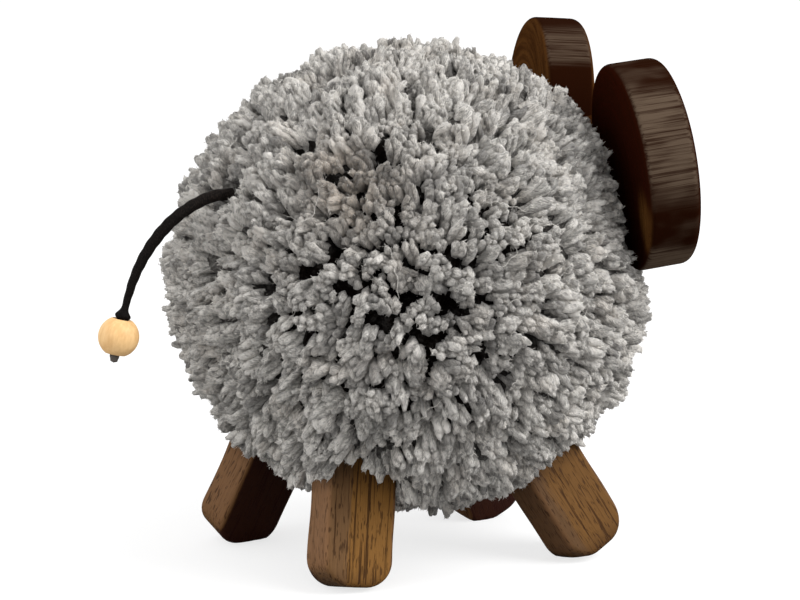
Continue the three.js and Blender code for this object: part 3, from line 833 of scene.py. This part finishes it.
def strand_paths(settings, rng):
    """Centre lines of the strands from their roots to their cut ends, each a quadratic curve.
    An end leans to the middle of its clump, away from partings and along a smooth field of tosses; it stops short
    of the ears, the head and the tail, and goes round the legs."""
    count = settings.strands
    reach, root = settings.reach / MM, settings.root / MM
    out = spread(count, STRAND_JITTER, rng)
    clumps = spread(count // CLUMP_STRANDS, CLUMP_JITTER, rng)
    clump = np.argmax(out @ clumps.T, 1)
    pull = np.clip(rng.normal(PULL, PULL_SPREAD, count), 0.0, PULL_MOST)[:, None]
    toss = TOSS * rows(*(waves(out, 0.5, 40 + axis) for axis in range(3)))
    facing = (out @ OPEN_SIDE)[:, None]
    base = unit(out - 2 * OPEN_LEAN * facing * (facing * out - OPEN_SIDE))
    tip = unit(out + pull * (clumps[clump] - out) + toss + SCATTER * rng.normal(size=(count, 3)))
    loose = np.c_[spread(LOOSE_PARTINGS, 0.5, rng), rng.uniform(0.3, 0.9, LOOSE_PARTINGS)]
    gaps = np.concatenate((PARTINGS, loose))
    arm, size = tip[:, None] - unit(gaps[:, :3]), gaps[:, 3]
    far = length(arm) * reach
    push = np.maximum(0, 1 - far / (2.2 * size)) * size / np.maximum(far, 0.3)
    tip = unit(tip + (push[..., None] * arm).sum(1))
    aside = length(tip - clumps[clump]) * reach
    lump = rng.normal(0, CLUMP_SPREAD, len(clumps))[clump] - CLUMP_DOME * np.minimum(aside, 3.5) ** 2
    longer = np.clip(lump + rng.normal(END_MEAN, END_SPREAD, count), END_LEAST, END_MOST)
    shorter = rng.uniform(SHORT_LEAST, SHORT_MOST, count) * (rng.random(count) < SHORT_SHARE)
    far_end = reach + swells(tip, reach) + longer - shorter
    waist = unit(base + out) * (root + 0.55 * (far_end - root))[:, None] + BOW * rng.normal(size=(count, 3))
    ends = np.stack((base * root, waist, tip * far_end[:, None]), 1) * (1, 1, PILE_FLATTEN)
    stopped = blocked(CENTRE + bend(np.linspace(0, 1, STOP_STEPS + 1)) @ ends, STRAND_ROOM)
    clear = np.where(stopped.any(1), np.argmax(stopped, 1) - 1, STOP_STEPS) / STOP_STEPS
    keep = clear > LEAST_CLEAR
    paths = CENTRE + bend(RINGS * clear[keep, None]) @ ends[keep]
    paths, middle = part_from_legs(paths, STRAND_LEG_ROOM)
    return paths[(middle.min(1) > LEAST_ASIDE) & ~over_legs(paths[:, -1])]


def yarn_plies(paths, settings, rng):
    """Three plies wound round each strand: the strand's line plus a turning arm that opens towards the cut end.
    Gives the plies' lines and radii and, for each ring, its distance from the cut end."""
    count, rings = paths.shape[:2]
    run = length(np.diff(paths, axis=1))
    from_end = np.concatenate((np.cumsum(run[:, ::-1], 1)[:, ::-1], np.zeros((count, 1))), 1)[:, None]
    along = unit(np.gradient(paths, axis=1))
    first, second = carried_frame(along)
    strand, ply = (count, 1, 1), (count, PLIES, 1)
    size = settings.ply / MM * rng.normal(1.0, 0.10, strand)
    phase = rng.uniform(0, TAU, strand) + turns(PLIES)[:, None] + rng.normal(0, 0.25, ply)
    phase = phase + TAU * from_end / (settings.pitch / MM)
    arm = size * (0.74 + 0.30 * np.exp(-from_end / 1.6)) * rng.normal(1.0, 0.12, ply)
    turned = np.cos(phase)[..., None] * first[:, None] + np.sin(phase)[..., None] * second[:, None]
    longer = rng.normal(0, 0.38, ply) * np.linspace(0, 1, rings) ** 3
    lines = paths[:, None] + arm[..., None] * turned + longer[..., None] * along[:, None]
    radii = size * RING_SIZES * rng.normal(1.0, 0.08, ply) * rng.normal(1.0, 0.06, (count, PLIES, rings))
    return lines.reshape(-1, rings, 3), radii.reshape(-1, rings), np.repeat(from_end[:, 0], PLIES, 0)


def shade_facts(points, tone, settings):
    """Tone, painted shade and stain of points: the painted shade darkens by the distance below the pile's surface
    and on the open side, which faces the camera, and the stain falls by the distance from the soiled spot."""
    arm = points - CENTRE
    high = length(arm)
    way, reach = arm / high[..., None], settings.reach / MM
    below = np.maximum(0, reach + swells(way, reach) - high)
    stain = 0.9 * fall(length(way - BROWN_SPOT) * high, BROWN_SIZE)
    # Painted shade: darker below the pile's surface and on the open side, which faces the camera.
    shade = np.exp(-((below / 5.4) ** 1.7)) * (1 - 0.27 * ramp(way @ OPEN_SIDE, 0.72, 0.96))
    return rows(tone, shade, stain)


def sectors(points):
    """Eight groups of strands: four round the upper half of the pompom and four round the lower half."""
    arm = points - CENTRE
    quarter = np.floor((np.arctan2(arm[:, 1], arm[:, 0]) + math.pi) / (math.pi / 2 + 1e-9)).astype(int)
    return quarter + 4 * (arm[:, 2] < 0)


class MOUSE_OT_camera(bpy.types.Operator):
    """Sets the camera where it sees the mouse from behind its right side."""

    bl_idname = "mouse.camera"
    bl_label = "Camera"

    def execute(self, context):
        stage = context.scene.mouse.stage
        turn, level = stage.azimuth, math.cos(stage.elevation)
        back = Vector((math.sin(turn) * level, -math.cos(turn) * level, math.sin(stage.elevation)))
        data = bpy.data.cameras.new("camera")
        data.lens = stage.lens
        data.sensor_width = SENSOR
        data.shift_x, data.shift_y = CAMERA_SHIFT
        data.clip_start = CLIP_START
        camera = bpy.data.objects.new("camera", data)
        camera.location = Vector(CENTRE * MM) + back * stage.distance
        camera.rotation_euler = (-back).to_track_quat("-Z", "Y").to_euler()
        context.scene.collection.objects.link(camera)
        context.scene.camera = camera
        return {"FINISHED"}


class MOUSE_OT_tail(bpy.types.Operator):
    """Makes the tail: a waxed cord with a knot above and below its turned bead."""

    bl_idname = "mouse.tail"
    bl_label = "Tail"

    def execute(self, context):
        mouse = context.scene.mouse
        bead = self.make_bead(mouse)
        path, run = smooth_path(TAIL_ROUTE, CORD_STEPS)
        radius = self.thickness(path, run, mouse.tail.diameter / MM / 2)
        rings, poles = tubes(path[None], radius[None], CORD_SIDES)
        turn = turns(CORD_SIDES) + TAU * run[:, None] / CORD_LAY
        furrow = CORD_FURROW * np.cos(CORD_STRANDS * turn)
        rings = rings + furrow[..., None] * (rings - path[:, None])
        lay = rows(np.cos(turn), np.sin(turn), run[:, None])
        facts = {"lay": with_poles(lay, np.array(((0, 0, 0), (0, 0, run[-1]))))}
        cord = make_piece("tail_cord", shell(rings, poles), cord_look(mouse.tail), facts, None)
        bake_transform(cord)
        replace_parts(cord, "tail_cord_base", "tail_cord_tip")
        return {"FINISHED"}

    def thickness(self, path, run, half):
        """Radius along the cord: full at first, drawn thin above the bead, with a flared knot and an end knot."""
        high = (path - BEAD_CENTRE) @ unit(BEAD_AXIS)
        flare = 0.72 * fall(high + BEAD_HALF + 0.55, 0.75)
        knot = 0.22 * fall(high - BEAD_HALF - 0.3, 0.5)
        return half * (1.10 - 0.44 * ramp(run, *CORD_TAPER) ** 1.5) + flare + knot

    def make_bead(self, mouse):
        """A ball with small flats round its bore: an outer arc, a chamfer at each end and the bore, turned."""
        arc = np.linspace(-1, 1, 33) * math.asin(BEAD_HALF / BEAD_RADIUS)
        outer = BEAD_RADIUS * rows(np.cos(arc), np.sin(arc))
        bore = rows(BEAD_BORE, np.linspace(BEAD_HALF - BEAD_SINK, BEAD_SINK - BEAD_HALF, 8))
        flat = BEAD_BORE + BEAD_CHAMFER
        profile = np.concatenate((outer, ((flat, BEAD_HALF),), bore, ((flat, -BEAD_HALF),)))
        rings = lathe(profile, BEAD_CENTRE, BEAD_AXIS, 64, 0.03, 5)
        facts = {"grain": local_grain(rings, BEAD_CENTRE, unit(BEAD_AXIS))}
        bead = make_piece("tail_bead_turned", shell(rings), pale_wood_look(mouse.wood), facts, "bead")
        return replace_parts(bead, "tail_bead")


def local_grain(points, origin, axis):
    """Points in the axes of a turned form: across, along its axis and across again, in mm."""
    first, second = cross_frame(axis)
    return (points - origin) @ rows(first, axis, second)


def growth_rings(grain, pith):
    """Distance of points from the pith, across the grain, with a slow drift so that no two rings are the same."""
    arm = grain[:, ::2] - pith
    return np.c_[length(arm), 0.08 * arm]


class MOUSE_OT_pile(bpy.types.Operator):
    """Makes the pompom: cut strands of three plies, the matted wool under them, loose hairs and stray curls."""

    bl_idname = "mouse.pile"
    bl_label = "Yarn pile"

    def execute(self, context):
        yarn = context.scene.mouse.yarn
        rng = np.random.default_rng(20)
        paths = strand_paths(yarn, rng)
        lines, radii, from_end = yarn_plies(paths, yarn, rng)
        tone = rng.normal(1.0, 0.31, len(paths)) * (1 + 0.10 * waves(paths[:, -1], 9.0, 8))
        tone = np.clip(np.repeat(tone, PLIES) * rng.normal(1.0, 0.15, len(lines)), 0.35, 1.6)
        offset = rng.uniform(0, 90, len(lines))
        group = np.repeat(sectors(paths[:, -1]), PLIES)
        look, hairs = yarn_look(yarn), hair_look(yarn)
        for sector in range(8):
            half = "upper" if sector < 4 else "lower"
            name = f"{half}_{'abcd'[sector % 4]}"
            mine = group == sector
            own = lines[mine], radii[mine], tone[mine]
            plies = self.plies(f"yarn_{name}", *own, from_end[mine], offset[mine], look, yarn, rng)
            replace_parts(plies, f"yarn_{half}")
            self.hairs(f"hairs_{name}", *own, hairs, yarn, rng)
        self.curls(hairs, yarn, rng)
        self.matted_wool(yarn)
        return {"FINISHED"}

    def plies(self, name, lines, radii, tone, from_end, offset, look, yarn, rng):
        """Plies of one sector: five-sided lumpy tubes whose fibres follow their twist, each point flecked."""
        rings, poles = tubes(lines, radii, PLY_SIDES, RING_LUMPS, rng)
        fleck = tone[:, None, None] * rng.normal(1.0, 0.27, rings.shape[:3])
        shade = with_poles(shade_facts(rings, fleck, yarn), shade_facts(poles, tone[:, None], yarn))
        turn = turns(PLY_SIDES) + 0.9 * from_end[..., None]
        fibre = rows(np.cos(turn), np.sin(turn), 0.32 * from_end[..., None] + offset[:, None, None])
        middle = rows(0, 0, offset)[:, None].repeat(2, 1)
        facts = {"shade": shade, "fibre": with_poles(fibre, middle)}
        return make_piece(name, shell(rings, poles), look, facts)

    def hairs(self, name, lines, radii, tone, look, yarn, rng):
        """Fine fibres that lie along the plies and fray from their cut ends: three-sided spindles, each from
        a point on the ply to one further out and a little off it."""
        owner = np.repeat(np.arange(len(lines)), yarn.hairs)
        count, last = len(owner), len(RINGS) - 1
        ring = rng.integers(2, last + 1, count)
        along = unit(np.gradient(lines, axis=1))[owner, ring]
        side = unit(np.cross(along, rng.normal(size=(count, 3))))
        start = lines[owner, ring] + side * radii[owner, ring][:, None] * rng.uniform(0.6, 1.0, (count, 1))
        run = unit(along + rng.uniform(0.1, 1.0, (count, 1)) * side + 0.4 * rng.normal(size=(count, 3)))
        run = run * rng.uniform(0.5, 1.4, (count, 1)) * np.where(ring == last, 0.65, 1.0)[:, None]
        poles = np.stack((start - 0.3 * run, start + 0.7 * run), 1)
        belly = start + 0.12 * rng.normal(size=(count, 3))
        thick = rng.uniform(0.045, 0.11, (count, 1, 1))
        rings = belly[:, None] + thick * circle(*cross_frame(unit(run)), turns(HAIR_SIDES))
        pale = np.clip(tone[owner] * rng.normal(1.0, 0.25, count), 0.4, 1.5)
        return self.fibres(name, rings[:, None], poles, pale, look, yarn)

    def curls(self, look, yarn, rng):
        """Long stray fibres on the pile: loops that wander over the ball at the height of the cut ends."""
        count, each = yarn.curls, (yarn.curls, 1)
        start = spread(count, 0.6, rng)
        start[: len(CURL_STARTS)] = CURL_STARTS
        first, second = cross_frame(start)
        t = np.linspace(0, 1, CURL_STEPS)
        heading = rng.uniform(0, TAU, each) + np.cumsum(rng.normal(0, 0.22, (count, CURL_STEPS)), 1)
        heading = heading + rng.normal(0, 4.0, each) * t + 0.5 * np.sin(t * rng.uniform(8, 30, each))
        step = rng.uniform(5, 15, each) / CURL_STEPS
        x, y = np.cumsum((np.cos(heading) * step, np.sin(heading) * step), 2)[..., None]
        high = 0.25 + 0.5 * np.sin(t * rng.uniform(3, 9, each) + rng.uniform(0, 6, each))
        high = (yarn.reach / MM + high)[..., None]
        paths = CENTRE + unit(start[:, None] * high + x * first[:, None] + y * second[:, None]) * high
        free = ~blocked(paths, CURL_ROOM).any(1) & (part_from_legs(paths, CURL_LEG_ROOM)[1].min(1) > 1)
        paths = paths[free & (paths[..., 2].min(1) > CENTRE[2] - CURL_LOWEST)]
        thick = np.broadcast_to(0.045 * np.sin(0.15 + 2.8 * t), paths.shape[:2])
        return self.fibres("stray_curls", *tubes(paths, thick, HAIR_SIDES), np.full(len(paths), 1.35), look, yarn)

    def fibres(self, name, rings, poles, pale, look, yarn):
        """A piece of loose fibres, each of one paleness."""
        shade = with_poles(shade_facts(rings, pale[:, None, None], yarn), shade_facts(poles, pale[:, None], yarn))
        facts = {"shade": shade, "fibre": with_poles(rings, poles) * 1.5}
        return make_piece(name, shell(rings, poles), look, facts)

    def matted_wool(self, yarn):
        """The dense inside: a lumpy ball under the cut ends, drawn in where legs, ears, head and tail stand, and
        marked for painted shade, near black, on the open side and in the partings."""
        reach = yarn.reach / MM
        rise = np.linspace(-1, 1, WOOL_RINGS + 2)[1:-1, None] * math.pi / 2
        turn = turns(WOOL_AROUND)
        out = rows(np.cos(rise) * np.cos(turn), np.cos(rise) * np.sin(turn), np.sin(rise))
        lumps = 0.25 * waves(out * 40, 6.0, 3) + 0.45 * waves(out * 40, 2.4, 5, 30)
        rest = reach - WOOL_BELOW + swells(out, reach) + lumps - WOOL_DEEPEST
        share = np.linspace(0, 1, WOOL_TRIES)[:, None, None]
        tries = CENTRE + out * (WOOL_DEEPEST + rest * share)[..., None]
        free = ~blocked(tries, WOOL_ROOM) & (part_from_legs(tries, WOOL_LEG_ROOM)[1] > 1)
        clear = np.maximum(np.logical_and.accumulate(free, 0).sum(0) - 1, 0) / (WOOL_TRIES - 1)
        size = WOOL_DEEPEST + rest * clear
        rings = CENTRE + out * size[..., None] * (1, 1, PILE_FLATTEN)
        poles = CENTRE + rows(0, 0, (-1, 1) * size[(0, -1), :].mean(1)) * PILE_FLATTEN
        way = unit(with_poles(rings, poles) - CENTRE)
        aside = length(way[:, None] - unit(PARTINGS[:, :3])) * reach / PARTINGS[:, 3]
        # Painted shade: marks the open side, which faces the camera, and the partings, to be near black.
        dark = np.maximum(ramp(way @ OPEN_SIDE, 0.62, 0.87), fall(aside, 3.0).max(1))
        facts = {"shade": rows(dark, dark, dark)}
        return make_piece("matted_wool", shell(rings, poles), painted_shade_wool_look(yarn), facts)


class MOUSE_OT_ears(bpy.types.Operator):
    """Makes the two thick ear discs with their rounded edges."""

    bl_idname = "mouse.ears"
    bl_label = "Ears"

    def execute(self, context):
        look = stain_look(context.scene.mouse.wood)
        half = EAR_THICKNESS / 2
        quarter = np.linspace(0, math.pi / 2, 9)
        sine, cosine = np.sin(quarter), np.cos(quarter)
        back_face = rows(np.linspace(0.6, EAR_RADIUS - EAR_BACK_ROUND, 14)[:-1], -half)
        back_edge = rows(EAR_RADIUS - EAR_BACK_ROUND * (1 - sine), -half + EAR_BACK_ROUND * (1 - cosine))
        rim = rows(EAR_RADIUS, np.linspace(-half + EAR_BACK_ROUND, half - EAR_FRONT_ROUND, 8)[1:-1])
        front_edge = rows(EAR_RADIUS - EAR_FRONT_ROUND * (1 - cosine), half - EAR_FRONT_ROUND * (1 - sine))
        front_face = rows(np.linspace(EAR_RADIUS - EAR_FRONT_ROUND, 0.6, 14)[1:], half)
        profile = np.concatenate((back_face, back_edge, rim, front_edge, front_face))
        face = np.zeros(len(back_face))
        edge = np.concatenate((face, sine, np.ones(len(rim)), cosine, face))
        edge = np.concatenate((np.repeat(edge, EAR_AROUND), (0, 0)))
        for number, (side, (centre, axis)) in enumerate(EARS.items()):
            rings = lathe(profile, centre, axis, EAR_AROUND, 0.05, 11 + number)
            poles = centre + np.array((-half, half))[:, None] * axis
            points = with_poles(rings, poles)
            grain = local_grain(points, centre, axis)
            high = (points[:, 2] - centre[2]) / EAR_RADIUS
            rise, full, still, end, most = EAR_SHEEN[side]
            spot = np.exp(-((points - EAR_SPOT) ** 2).sum(-1) / SPOT_SIZE)
            # knot is a painted patch of warm light low on the right ear's back face.
            knot = np.exp(-(((points - EAR_LIT_PATCH) ** 2 / LIT_PATCH_SIZE).sum(-1) ** 2))
            # worn is a painted sheen: grey in a band at set heights on each rim and on its foot, left off the dark
            # spot.
            worn = ramp(high, rise, full) * np.maximum(1 - ramp(high, still, end), 0.05)
            worn = most * np.maximum(worn, FOOT_SHEEN * ramp(-high, FOOT_SHEEN_START, FOOT_SHEEN_FULL)) * (1 - spot)
            # The rim fact holds the painted sheen, the painted light on the faces, and how far onto the rim each
            # point lies.
            facts = {
                "grain": grain + EAR_GRAIN * number,
                "rim": rows(worn, np.maximum(EAR_LIT_FACES[side], 0.75 * knot), edge),
                "growth": growth_rings(grain, EAR_PITH),
            }
            ear = make_piece(f"ear_{side}_disc", shell(rings, poles), look, facts)
            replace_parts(ear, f"ear_{side}")
        return {"FINISHED"}


class MOUSE_OT_legs(bpy.types.Operator):
    """Makes the four leg slabs with rounded ends and eased edges, flat on the floor."""

    bl_idname = "mouse.legs"
    bl_label = "Legs"

    def execute(self, context):
        look = walnut_look(context.scene.mouse.wood)
        half = LEG_THICKNESS / 2
        quarter = np.linspace(0, math.pi / 2, 7)
        inset = LEG_EASE * (1 - np.sin(quarter))
        depth = half - LEG_EASE * (1 - np.cos(quarter))
        shrink = np.array((0.12, 0.35, 0.6, 0.8, 0.94))
        middle = np.array((0.0, LEG_LENGTH / 2))
        face = [middle + (self.outline(LEG_EASE) - middle) * share for share in shrink]
        edge = [self.outline(size) for size in inset]
        side = [self.outline(0.0)] * 5
        flat = np.stack(face + edge + side + edge[::-1] + face[::-1])
        outer = np.full(len(face), half)
        between = np.linspace(-half + LEG_EASE, half - LEG_EASE, len(side) + 2)[1:-1]
        level = np.concatenate((-outer, -depth, between, depth[::-1], outer))
        local = rows(flat[..., 0], flat[..., 1], level[:, None])
        for number, leg in enumerate(LEGS):
            sanded = 1 + 0.012 * waves(local, 14.0, 60 + number)[..., None] * (1, 0, 1)
            rings = leg_world(local * sanded, leg)
            rings[..., 2] = np.maximum(rings[..., 2], 0)
            poles = leg_world(rows(0, LEG_LENGTH / 2, (-half, half)), leg)
            own = leg_local(with_poles(rings, poles), leg)
            across, up, out = own.T
            # The tone is darker at the lower end, partly for its end grain and partly as painted shade where the
            # slab faces down, and holds a painted shadow of the yarn near the top.
            tone = LEG_TONES[leg] * (0.4 + 0.6 * ramp(up, 0, 3.2)) * (1 - 0.5 * ramp(up, 15.5, 19.0))
            across = across / (LEG_WIDTH / 2)
            facts = {
                "grain": own + LEG_GRAIN * number,
                "rim": rows(np.abs(across), tone, out / half),
                "bands": rows(across + LEG_BANDS[leg], 0, 0),
            }
            slab = make_piece(f"leg_{leg}_slab", shell(rings, poles), look, facts)
            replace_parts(slab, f"leg_{leg}")
        return {"FINISHED"}

    def outline(self, inset, count=112):
        """The slab's outline drawn in by inset: straight sides, large arcs at the lower corners and small ones at
        the upper, walked round at even steps from the right side upwards."""
        wide, low, high = LEG_WIDTH / 2 - inset, inset, LEG_LENGTH - inset
        arc = np.linspace(0, math.pi / 2, 12)

        def corner(x, y, radius, start):
            """A quarter of a circle round (x, y), from its start angle."""
            return rows(x + radius * np.cos(start + arc), y + radius * np.sin(start + arc))

        foot, top = LEG_CORNER - inset, LEG_TOP - inset
        walk = np.concatenate((
            corner(wide - top, high - top, top, 0),
            corner(-wide + top, high - top, top, math.pi / 2),
            corner(-wide + foot, low + foot, foot, math.pi),
            corner(wide - foot, low + foot, foot, 1.5 * math.pi),
        ))
        return even_steps(np.concatenate((walk, walk[:1])), count, False)[0]


class MOUSE_OT_face(bpy.types.Operator):
    """Makes the turned head and its black eyes and nose."""

    bl_idname = "mouse.face"
    bl_label = "Head and face"

    def execute(self, context):
        wood = context.scene.mouse.wood
        rings = lathe(head_profile(24), HEAD_BACK, HEAD_AXIS, 112, 0.05, 31)
        poles = HEAD_BACK + np.array((0.0, HEAD_LENGTH))[:, None] * HEAD_AXIS
        points = with_poles(rings, poles)
        grain = local_grain(points, HEAD_BACK, HEAD_AXIS)
        rim = np.broadcast_to((0.5, 0.34, 0.5), points.shape)
        facts = {"grain": grain + HEAD_GRAIN, "rim": rim, "growth": growth_rings(grain, HEAD_PITH)}
        head = make_piece("head_turned", shell(rings, poles), stain_look(wood, "head_stain"), facts)
        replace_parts(head, "head")
        gloss = gloss_bead_look(wood)
        rise = np.linspace(-1, 1, 27)[1:-1] * math.pi / 2
        flat = 1 - 0.10 * np.clip(np.sin(rise), 0, 1) ** 2
        for name, (centre, radius) in FACE_BEADS.items():
            out = unit(centre - (HEAD_BACK + HEAD_WIDEST * HEAD_AXIS))
            rings = lathe(radius * rows(np.cos(rise), np.sin(rise) * flat), centre, out, 48)
            poles = centre + radius * np.array((-1.0, 0.9))[:, None] * out
            bead = make_piece(f"{name}_bead", shell(rings, poles), gloss)
            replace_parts(bead, name)
        return {"FINISHED"}


class MOUSE_OT_inside(bpy.types.Operator):
    """Gives the hidden core, dowels and cords their finishes."""

    bl_idname = "mouse.inside"
    bl_label = "Hidden parts"

    def execute(self, context):
        mouse = context.scene.mouse
        wood, wool = plain_wood_look(mouse.wood).owner, painted_shade_wool_look(mouse.yarn).owner
        finishes = {"core_block": wood, "tie_cord": wool, "tail_root": wool}
        for name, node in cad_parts.items():
            finish = wood if "dowel" in name else finishes.get(name)
            if finish is not None:
                node.data.materials.clear()
                node.data.materials.append(finish)
        return {"FINISHED"}


class MOUSE_OT_stage(bpy.types.Operator):
    """Lays a pale floor and lights the mouse softly from above, from both sides and all round."""

    bl_idname = "mouse.stage"
    bl_label = "Floor and light"

    def execute(self, context):
        scene, stage = context.scene, context.scene.mouse.stage
        scene.view_settings.view_transform = "Standard"
        self.floor(scene, stage)
        self.surround(scene, stage)
        for name, (place, share) in LAMPS.items():
            self.lamp(scene, name, place, stage.key * share)
        return {"FINISHED"}

    def floor(self, scene, stage):
        """A wide square that catches the shadow and looks white to the camera."""
        corners = rows((-1, 1, 1, -1), (-1, -1, 1, 1), 0) * FLOOR_HALF
        mesh = bpy.data.meshes.new("floor")
        mesh.from_pydata(corners.tolist(), [], [(0, 1, 2, 3)])
        look = Look("floor")
        look.finish(Base_Color=stage.floor, Roughness=1.0, Specular_IOR_Level=0.0)
        glow = look.add("ShaderNodeEmission", None, {"Color": (1, 1, 1), "Strength": look.seen() * FLOOR_GLOW})
        both = look.add("ShaderNodeAddShader", None, {0: Value(look, look.shader.outputs[0]), 1: glow})
        look.tree.links.new(both.socket, look.tree.nodes["Material Output"].inputs["Surface"])
        mesh.materials.append(look.owner)
        floor = bpy.data.objects.new("floor", mesh)
        scene.collection.objects.link(floor)

    def surround(self, scene, stage):
        """Even light from all round, that looks white to the camera."""
        look = Look("surround", bpy.data.worlds)
        look.finish(Color=(1, 1, 1), Strength=stage.fill + (1 - stage.fill) * look.seen())
        scene.world = look.owner

    def lamp(self, scene, name, place, power):
        """A round lamp that looks at the middle of the pompom."""
        data = bpy.data.lights.new(name, "AREA")
        data.shape = "DISK"
        data.size = LAMP_SIZE
        data.energy = power
        lamp = bpy.data.objects.new(name, data)
        lamp.location = place
        lamp.rotation_euler = (Vector(place) - Vector(CENTRE * MM)).to_track_quat("Z", "Y").to_euler()
        scene.collection.objects.link(lamp)


class MOUSE_PT_panel(bpy.types.Panel):
    """Lists the steps that make the mouse."""

    bl_idname = "MOUSE_PT_panel"
    bl_label = "Pompom mouse"
    bl_space_type = "VIEW_3D"
    bl_region_type = "UI"
    bl_category = "Mouse"

    def draw(self, context):
        for step in STEPS:
            self.layout.operator(step.bl_idname)


STEPS = (
    MOUSE_OT_camera,
    MOUSE_OT_tail,
    MOUSE_OT_pile,
    MOUSE_OT_ears,
    MOUSE_OT_legs,
    MOUSE_OT_face,
    MOUSE_OT_inside,
    MOUSE_OT_stage,
)
CLASSES = (YarnSettings, WoodSettings, TailSettings, StageSettings, MouseSettings, *STEPS, MOUSE_PT_panel)


def register():
    """Makes the settings, steps and panel known to Blender."""
    for cls in CLASSES:
        bpy.utils.register_class(cls)
    bpy.types.Scene.mouse = bpy.props.PointerProperty(type=MouseSettings)


def unregister():
    """Takes them away again."""
    del bpy.types.Scene.mouse
    for cls in reversed(CLASSES):
        bpy.utils.unregister_class(cls)


def main():
    """Makes the mouse step by step."""
    register()
    for step in STEPS:
        group, name = step.bl_idname.split(".")
        getattr(getattr(bpy.ops, group), name)()


if __name__ == "__main__":
    main()
